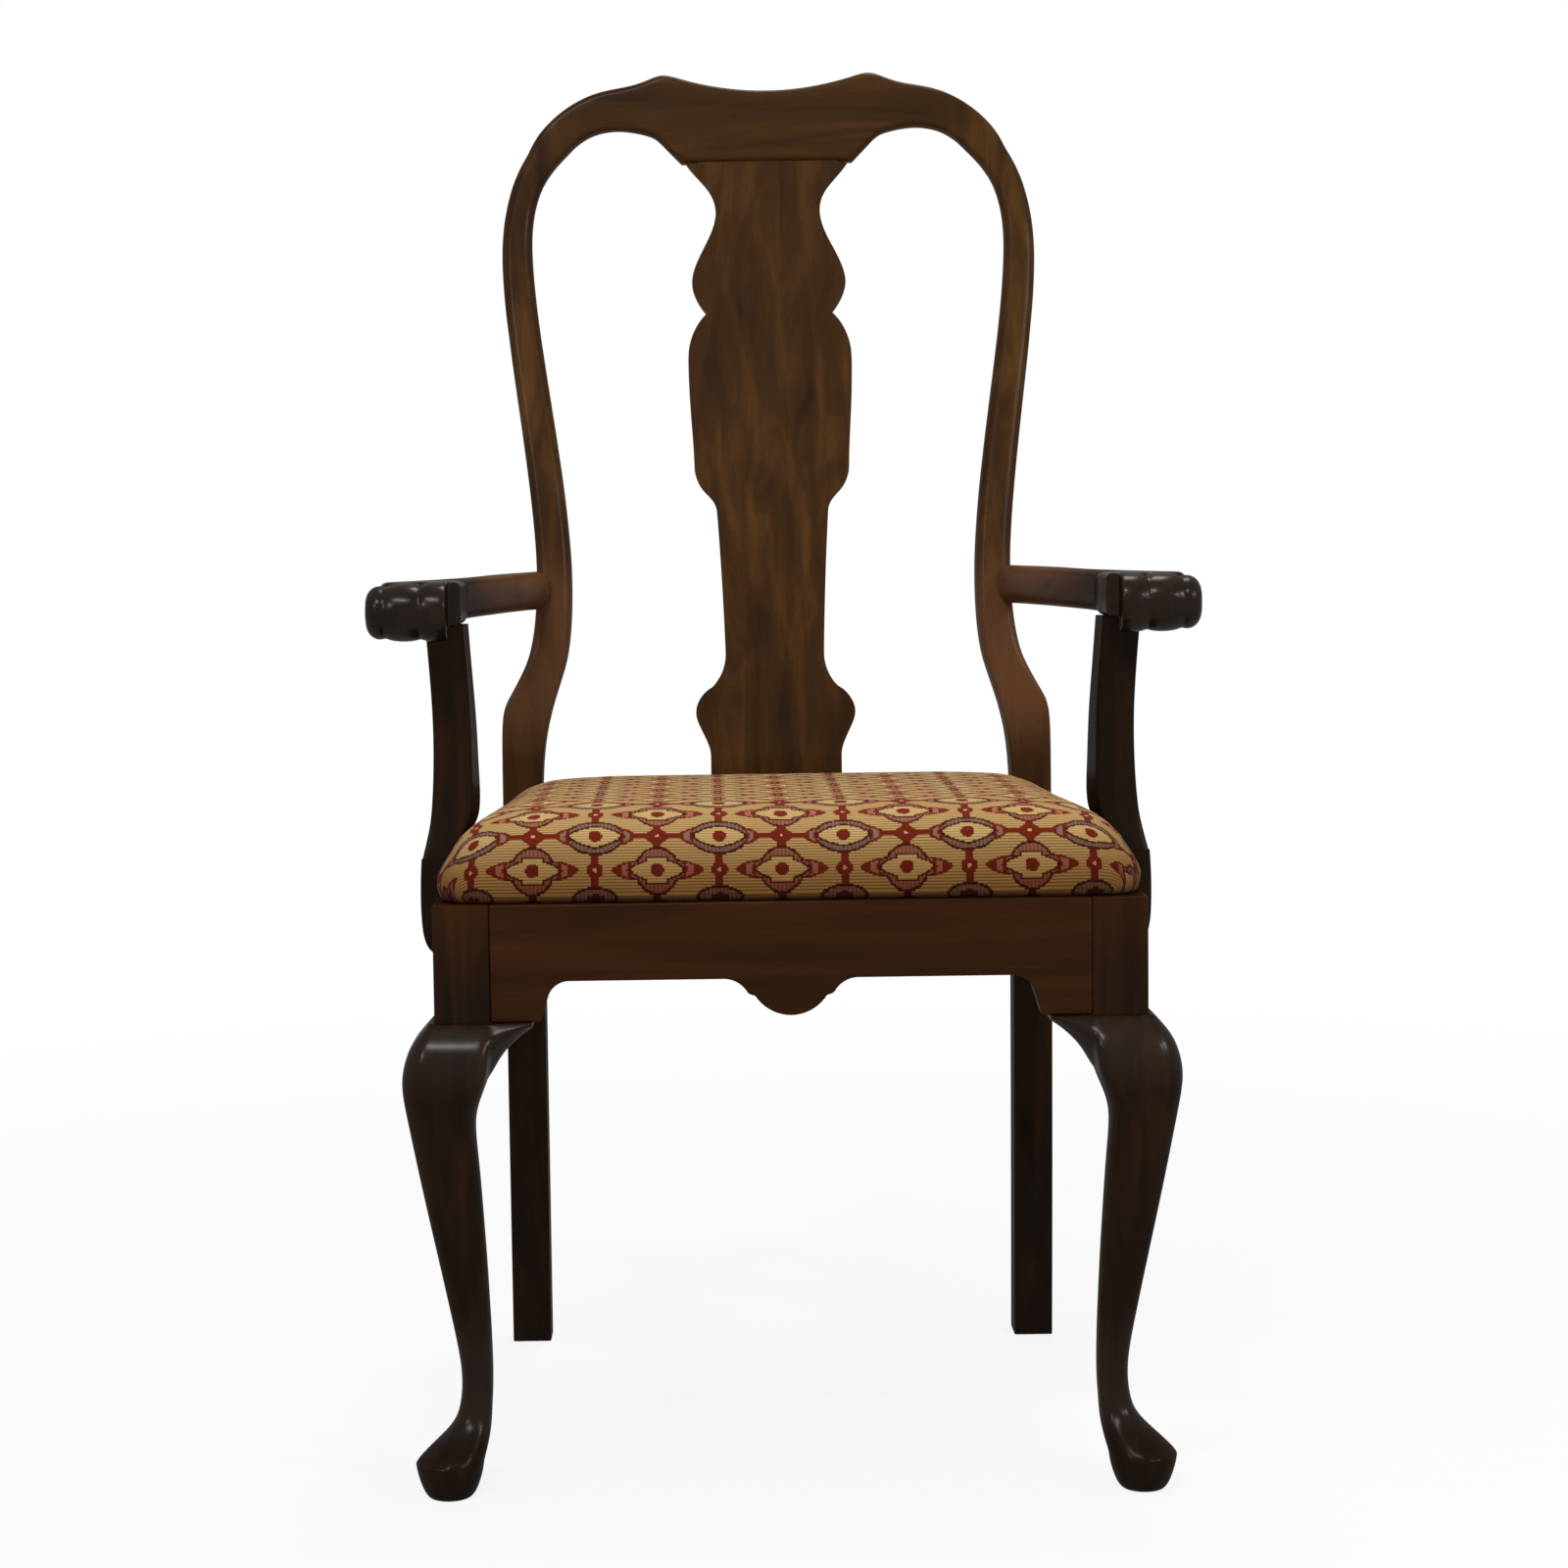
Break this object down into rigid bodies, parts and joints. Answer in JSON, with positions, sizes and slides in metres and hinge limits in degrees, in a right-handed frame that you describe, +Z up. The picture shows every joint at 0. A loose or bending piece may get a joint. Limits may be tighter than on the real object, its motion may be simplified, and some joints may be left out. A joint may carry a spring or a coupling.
{
  "type": "dining armchair",
  "caption": "Dining armchair with cabriole front legs, a vase-shaped splat between curved stiles, scrolled arms on swept supports and a crowned upholstered drop-on seat.",
  "frame": {"origin": "on the floor, under the middle of the bounding box", "axes": "+Z up, +Y towards the back, +X to the right of someone who faces the front of the chair"},
  "size_m": [0.622, 0.555, 1.096],
  "materials": {
    "polished_wood": "dark stained hardwood, semi-gloss",
    "plain_wood": "bare",
    "steel": "zinc",
    "foam": "foam",
    "seat_fabric": "woven, patterned",
    "lining": "non-woven"
  },
  "bodies": {
    "root": {"crest_rail": "polished_wood", "splat": "polished_wood", "splat_shoe": "polished_wood", "front_seat_rail": "polished_wood", "rear_seat_rail": "polished_wood", "arm_screw_plugs": "polished_wood", "front_leg_right": "polished_wood", "front_leg_left": "polished_wood", "rear_leg_right": "polished_wood", "rear_leg_left": "polished_wood", "side_seat_rail_right": "polished_wood", "side_seat_rail_left": "polished_wood", "knee_bracket_front_right": "polished_wood", "knee_bracket_front_left": "polished_wood", "knee_bracket_side_right": "polished_wood", "knee_bracket_side_left": "polished_wood", "arm_right": "polished_wood", "arm_left": "polished_wood", "arm_support_right": "polished_wood", "arm_support_left": "polished_wood", "seat_board": "plain_wood", "corner_block_front_left": "plain_wood", "corner_block_front_right": "plain_wood", "corner_block_rear_left": "plain_wood", "corner_block_rear_right": "plain_wood", "crest_dowels": "plain_wood", "arm_screws": "steel", "arm_support_screws": "steel", "corner_block_screws": "steel", "seat_screws": "steel", "seat_foam": "foam", "seat_cover": "seat_fabric", "dust_cover": "lining"}
  },
  "joints": []
}
